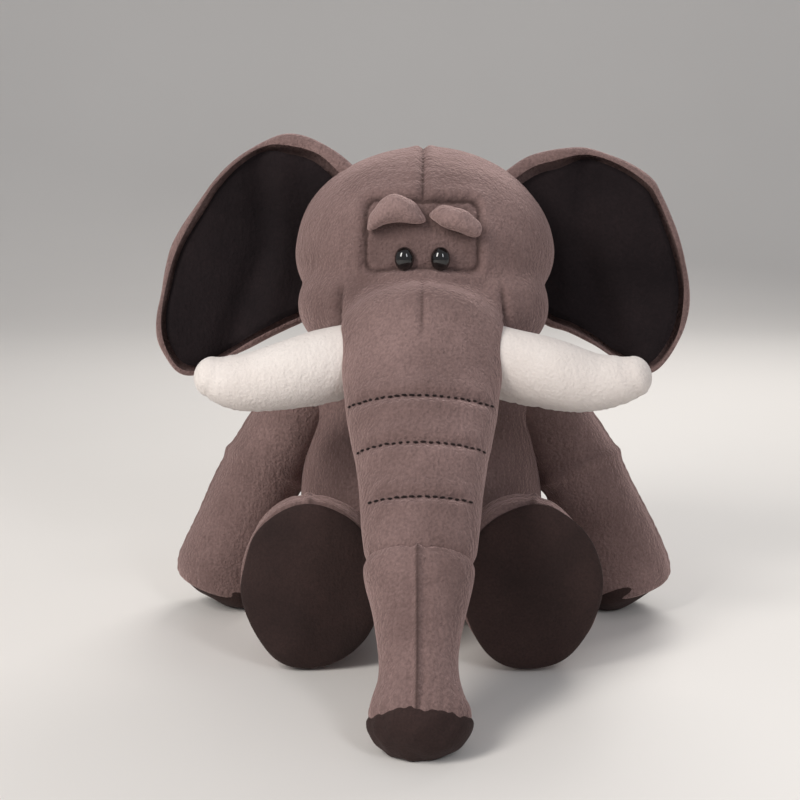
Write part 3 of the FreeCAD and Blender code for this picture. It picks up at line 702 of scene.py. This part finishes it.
def build_ears():
    for side, sign in SIDES.items():
        outline = catmull(EAR_OUTLINE[side] + [EAR_OUTLINE[side][0]], 241)[:-1]
        above = np.maximum(outline[:, 1] - 0.240, 0)
        outline[:, 1] -= above * EAR_TOP_DROP[side]
        middle = np.array([0.100, 0.203])
        base_y = joints[f"ear_{side}_fold"][1]

        def depth(flat):
            """How far forward the ear's middle surface stands: cupped, with a soft fold."""
            r = np.hypot(flat[:, 0] - 0.098, (flat[:, 1] - 0.200) * 0.85)
            cup = 0.014 * (r / 0.05) ** 2 * 0.75
            fold_at = 0.088 + 0.35 * np.maximum(0, 0.205 - flat[:, 1])
            fold = 0.0055 * np.exp(-((flat[:, 0] - fold_at) / 0.009) ** 2)
            roll = 0.006 * smooth(-flat[:, 0], -0.085, -0.062)
            wave = 0.002 * np.sin(flat[:, 1] * 75 + 1.3 * sign)
            return base_y + 0.002 - cup + fold + roll + wave

        thick, rings = 0.0046, 30
        near_head = smooth(-outline[:, 0], -0.092, -0.064) * smooth(outline[:, 1], 0.222, 0.240)
        rim = (0.0062 + 0.0062 * near_head)[:, None]
        looks = {"back": "plush", "lining": "velvet"}
        for layer in looks:
            verts, faces = [], []
            around = len(outline)
            arms = outline - middle
            reach = np.linalg.norm(arms, axis=1)[:, None]
            if layer == "back":
                # from the middle of the back, out over the rolled rim, to just inside the rim
                steps = [("back", t) for t in np.linspace(0.02, 1.0, rings)]
                steps += [("roll", a) for a in np.linspace(0.12, 1.0, 12)]
            else:
                steps = [("front", t) for t in np.linspace(0.02, 1.0, rings + 10)]
            for kind, t in steps:
                if kind == "back":
                    flat = middle + arms * (1 - rim * 0.55 / reach) * t
                    y = depth(flat) + thick
                elif kind == "roll":
                    angle = math.pi * t
                    radius = rim * 0.55
                    flat = middle + arms * (1 - (radius - radius * math.sin(angle)) / reach)
                    swing = math.cos(angle)
                    y = depth(flat) + thick * swing * (1.0 if swing > 0 else 1.25)
                else:
                    flat = middle + arms * (1 - rim * 0.95 / reach) * t
                    puff = 0.0016 * math.cos(0.5 * math.pi * t ** 3)
                    y = depth(flat) - thick * 0.55 - puff + 0.0012 * smooth(t, 0.93, 1.0)
                verts.append(np.column_stack([sign * flat[:, 0], y, flat[:, 1]]))
            count = len(steps)
            verts = np.vstack(verts)
            first = verts[:around].mean(0)
            verts = np.vstack([verts, first])
            pole = len(verts) - 1
            for i in range(count - 1):
                for k in range(around):
                    n = (k + 1) % around
                    quad = (i * around + k, (i + 1) * around + k, (i + 1) * around + n,
                            i * around + n)
                    faces.append(quad if (sign > 0) == (layer == "back") else quad[::-1])
            for k in range(around):
                n = (k + 1) % around
                tri = (pole, k, n)
                faces.append(tri if (sign > 0) == (layer == "back") else tri[::-1])
            obj = new_object(f"ear_{looks[layer]}_{side}", verts, faces)
            points = coords(obj)
            lumps = 0.0007 * waves(points, 0.040, 51 + int(sign))
            lumps += 0.00015 * waves(points, 0.018, 53)
            push(obj, lumps)
            if layer == "back":
                paint(obj, "seam", np.zeros(len(points)))
                finish_piece(obj, "ear_" + side, TAUPE,
                             ["ear_back_" + side, "ear_batting_" + side])
            else:
                finish_piece(obj, "ear_" + side, VELVET, ["ear_lining_" + side])


# ---- arms and legs -----------------------------------------------------------------------------

def build_arms():
    for side, sign in SIDES.items():
        top = joints[f"arm_{side}_swing"]
        p_low, p_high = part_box("paw_pad_" + side)
        paw = 0.5 * (np.array(p_low) + np.array(p_high))
        down = paw - top
        length = np.linalg.norm(down)
        down /= length
        rows = []
        for along, wide, deep, bow in ((0.00, 0.0200, 0.0200, 0.000), (0.18, 0.0214, 0.0212, 0.002),
                                       (0.42, 0.0228, 0.0228, 0.005), (0.68, 0.0240, 0.0240, 0.005),
                                       (0.88, 0.0256, 0.0248, 0.002),
                                       (0.965, 0.0246, 0.0238, 0.0)):
            middle = top + down * along * length + np.array([sign * bow, 0, 0])
            rows.append((*middle, wide, deep))
        arm = tube("arm_plush_" + side, rows, across=(1, 0, 0), around=96, along=100,
                   round_start=0.9, round_end=0.22)
        points = coords(arm)
        along = (points - top) @ down
        lumps = 0.0011 * waves(points, 0.055, 61 + int(sign)) + 0.00015 * waves(points, 0.02, 62)
        ridge = np.abs(points[:, 1] - top[1] + 0.002)
        seam = crease(ridge, along, 0.0008, 0.0014, 12) * smooth(along, 0.01, 0.03)
        elbow = -0.0016 * np.exp(-((along - 0.052 - 0.25 * (points[:, 1])) / 0.0035) ** 2)
        elbow *= points[:, 1] < 0.006
        push(arm, lumps + seam + elbow)
        keep_above(arm, 0.0012)
        # painted shade along the groove of the arm seam
        paint(arm, "seam", 0.8 * np.exp(-(ridge / 0.0010) ** 2) * smooth(along, 0.01, 0.03))
        finish_piece(arm, "arm_" + side, TAUPE,
                     ["arm_panel_front_" + side, "arm_panel_back_" + side, "arm_stuffing_" + side])
        facing = Vector(down) + Vector((0.12 * sign, -0.30, 0))
        turn = Vector((0, 0, -1)).rotation_difference(facing).to_matrix().to_4x4()
        pad = egg("paw_" + side, (0, 0, 0), (0.0246, 0.0234, 0.0112), around=72, rings=36)
        points = coords(pad) @ np.array(turn.to_3x3()).T
        points = points + top + down * length * 0.968 + np.array([0.0004 * sign, -0.0022, 0])
        points[:, 2] = np.maximum(points[:, 2], 0.0008)
        move(pad, points)
        push(pad, 0.0005 * waves(points, 0.016, 63))
        finish_piece(pad, "arm_" + side, SUEDE, ["paw_pad_" + side])


def build_legs():
    for side, sign in SIDES.items():
        hip = joints[f"leg_{side}_lift"]
        s_low, s_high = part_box("sole_" + side)
        sole = 0.5 * (np.array(s_low) + np.array(s_high))
        sole[1] = s_high[1]
        half_w = 0.5 * (s_high[0] - s_low[0]) + 0.0020
        half_h = 0.5 * (s_high[2] - s_low[2]) + 0.0020
        rows = []
        for along, wide, tall in ((-0.10, 0.80, 0.66), (0.15, 0.84, 0.70), (0.42, 0.87, 0.82),
                                  (0.70, 0.95, 0.94), (0.90, 1.00, 0.995), (0.975, 0.985, 0.985)):
            middle = hip + (sole - hip) * along
            middle[2] = max(middle[2], half_h * tall + 0.0010)
            rows.append((*middle, half_w * wide, half_h * tall))
        leg = tube("leg_plush_" + side, rows, across=(1, 0, 0), around=120, along=100,
                   round_start=0.7, round_end=0.03)
        points = coords(leg)
        along = hip[1] - points[:, 1]
        lumps = 0.0012 * waves(points, 0.06, 71 + int(sign)) + 0.00015 * waves(points, 0.02, 72)
        across = np.abs(points[:, 0] - sole[0] - 0.10 * sign * (points[:, 1] - sole[1]))
        top = points[:, 2] > half_h
        seam = crease(across, along, 0.0014, 0.0016, 13) * top
        wrinkle = -0.0018 * np.exp(-((along - 0.050 - 0.3 * (points[:, 2] - 0.06)) / 0.004) ** 2)
        wrinkle *= smooth(points[:, 2], 0.045, 0.065)
        push(leg, lumps + seam + wrinkle)
        keep_above(leg, 0.0008)
        # painted shade along the groove of the seam on top of the leg
        paint(leg, "seam", 0.8 * np.exp(-(across / 0.0010) ** 2) * top)
        finish_piece(leg, "leg_" + side, TAUPE,
                     ["leg_panel_outer_" + side, "leg_panel_inner_" + side,
                      "leg_stuffing_" + side])
        pad = egg("sole_pad_" + side, (0, 0, 0), (half_w - 0.0006, 0.0075, half_h - 0.0006),
                  turn=None, around=96, rings=60)
        points = coords(pad)
        points[:, 1] = np.where(points[:, 1] > 0, points[:, 1] * 0.5, points[:, 1])
        points += np.array([sole[0], s_high[1] - 0.0012, sole[2]])
        points[:, 2] = np.maximum(points[:, 2], 0.0012)
        move(pad, points)
        push(pad, 0.0007 * waves(points, 0.030, 73 + int(sign)))
        finish_piece(pad, "leg_" + side, SUEDE, ["sole_" + side])


def build_tail():
    root = joints["tail_wag"]
    t_low, t_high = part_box("tail_tuft")
    tuft_mid = 0.5 * (np.array(t_low) + np.array(t_high))
    rows = []
    for t, r in ((-0.1, 0.0052), (0.2, 0.0046), (0.6, 0.0040), (0.95, 0.0036)):
        rows.append((*(root + (tuft_mid - root) * t), r, r))
    tail = tube("tail_plush", rows, around=40, along=50)
    points = coords(tail)
    push(tail, 0.0004 * waves(points, 0.012, 81))
    paint(tail, "seam", np.zeros(len(points)))
    finish_piece(tail, "tail", TAUPE, ["tail_skin"])
    down = tuft_mid - root
    down /= np.linalg.norm(down)
    rows = [(*(tuft_mid - down * 0.006), 0.0035, 0.0035), (*tuft_mid, 0.0062, 0.0062),
            (*(tuft_mid + down * 0.006), 0.0035, 0.0035)]
    tuft = tube("tail_tuft_yarn", rows, around=40, along=30)
    finish_piece(tuft, "tail", SUEDE, ["tail_tuft"])


# ---- stage -------------------------------------------------------------------------------------

def area_light(name, place, target, size, power, colour):
    data = bpy.data.lights.new(name, "AREA")
    data.shape = "RECTANGLE"
    data.size, data.size_y = size
    data.energy = power
    data.color = colour
    lamp = bpy.data.objects.new(name, data)
    lamp.location = place
    lamp.rotation_euler = (Vector(target) - Vector(place)).to_track_quat("-Z", "Y").to_euler()
    bpy.context.scene.collection.objects.link(lamp)
    return lamp


def build_stage():
    profile = [(-4.0, 0.0), (1.2, 0.0)]
    bend = 1.0
    for step in range(1, 13):
        angle = math.radians(90 * step / 12)
        profile.append((1.2 + bend * math.sin(angle), bend * (1 - math.cos(angle))))
    profile.append((1.2 + bend, 5.0))
    verts = [(x, y, z) for y, z in profile for x in (-6.0, 6.0)]
    faces = [(2 * i, 2 * i + 1, 2 * i + 3, 2 * i + 2) for i in range(len(profile) - 1)]
    floor = new_object("floor_sweep", verts, faces)
    material = bpy.data.materials.new("pale_floor")
    material.use_nodes = True
    tree = material.node_tree
    shader = tree.nodes["Principled BSDF"]
    tone = blend_colours(tree, noise(tree, 3.0, 2.0), (0.74, 0.71, 0.68), (0.78, 0.75, 0.72))
    tree.links.new(tone, shader.inputs["Base Color"])
    shader.inputs["Roughness"].default_value = 0.55
    floor.data.materials.append(material)
    world = bpy.data.worlds.new("soft_room")
    bpy.context.scene.world = world
    world.use_nodes = True
    world.node_tree.nodes["Background"].inputs["Color"].default_value = (0.80, 0.82, 0.86, 1)
    world.node_tree.nodes["Background"].inputs["Strength"].default_value = 0.45
    aim = (0, -0.05, 0.13)
    area_light("window_left", (-0.80, -0.90, 0.95), aim, (0.35, 0.75), 14, (1.0, 0.97, 0.93))
    area_light("window_right", (0.60, -1.10, 0.85), aim, (0.22, 0.60), 4, (0.96, 0.97, 1.0))
    area_light("rim_back", (0.35, 0.9, 0.9), aim, (0.8, 0.5), 8, (1.0, 0.98, 0.95))


def build_camera():
    data = bpy.data.cameras.new("camera")
    data.sensor_width = SENSOR_MM
    data.lens = LENS_MM
    camera = bpy.data.objects.new("camera", data)
    camera.location = CAMERA_PLACE
    camera.rotation_euler = (math.radians(90 - CAMERA_PITCH_DOWN), 0,
                             math.radians(CAMERA_HEADING))
    bpy.context.scene.collection.objects.link(camera)
    bpy.context.scene.camera = camera
    bpy.context.scene.view_settings.view_transform = "Standard"


build_torso()
head_piece = build_head()
build_stitches(head_piece)
build_face()
build_tusks()
build_lower_trunk()
build_ears()
build_arms()
build_legs()
build_tail()
build_stage()
build_camera()

bpy.context.view_layer.update()
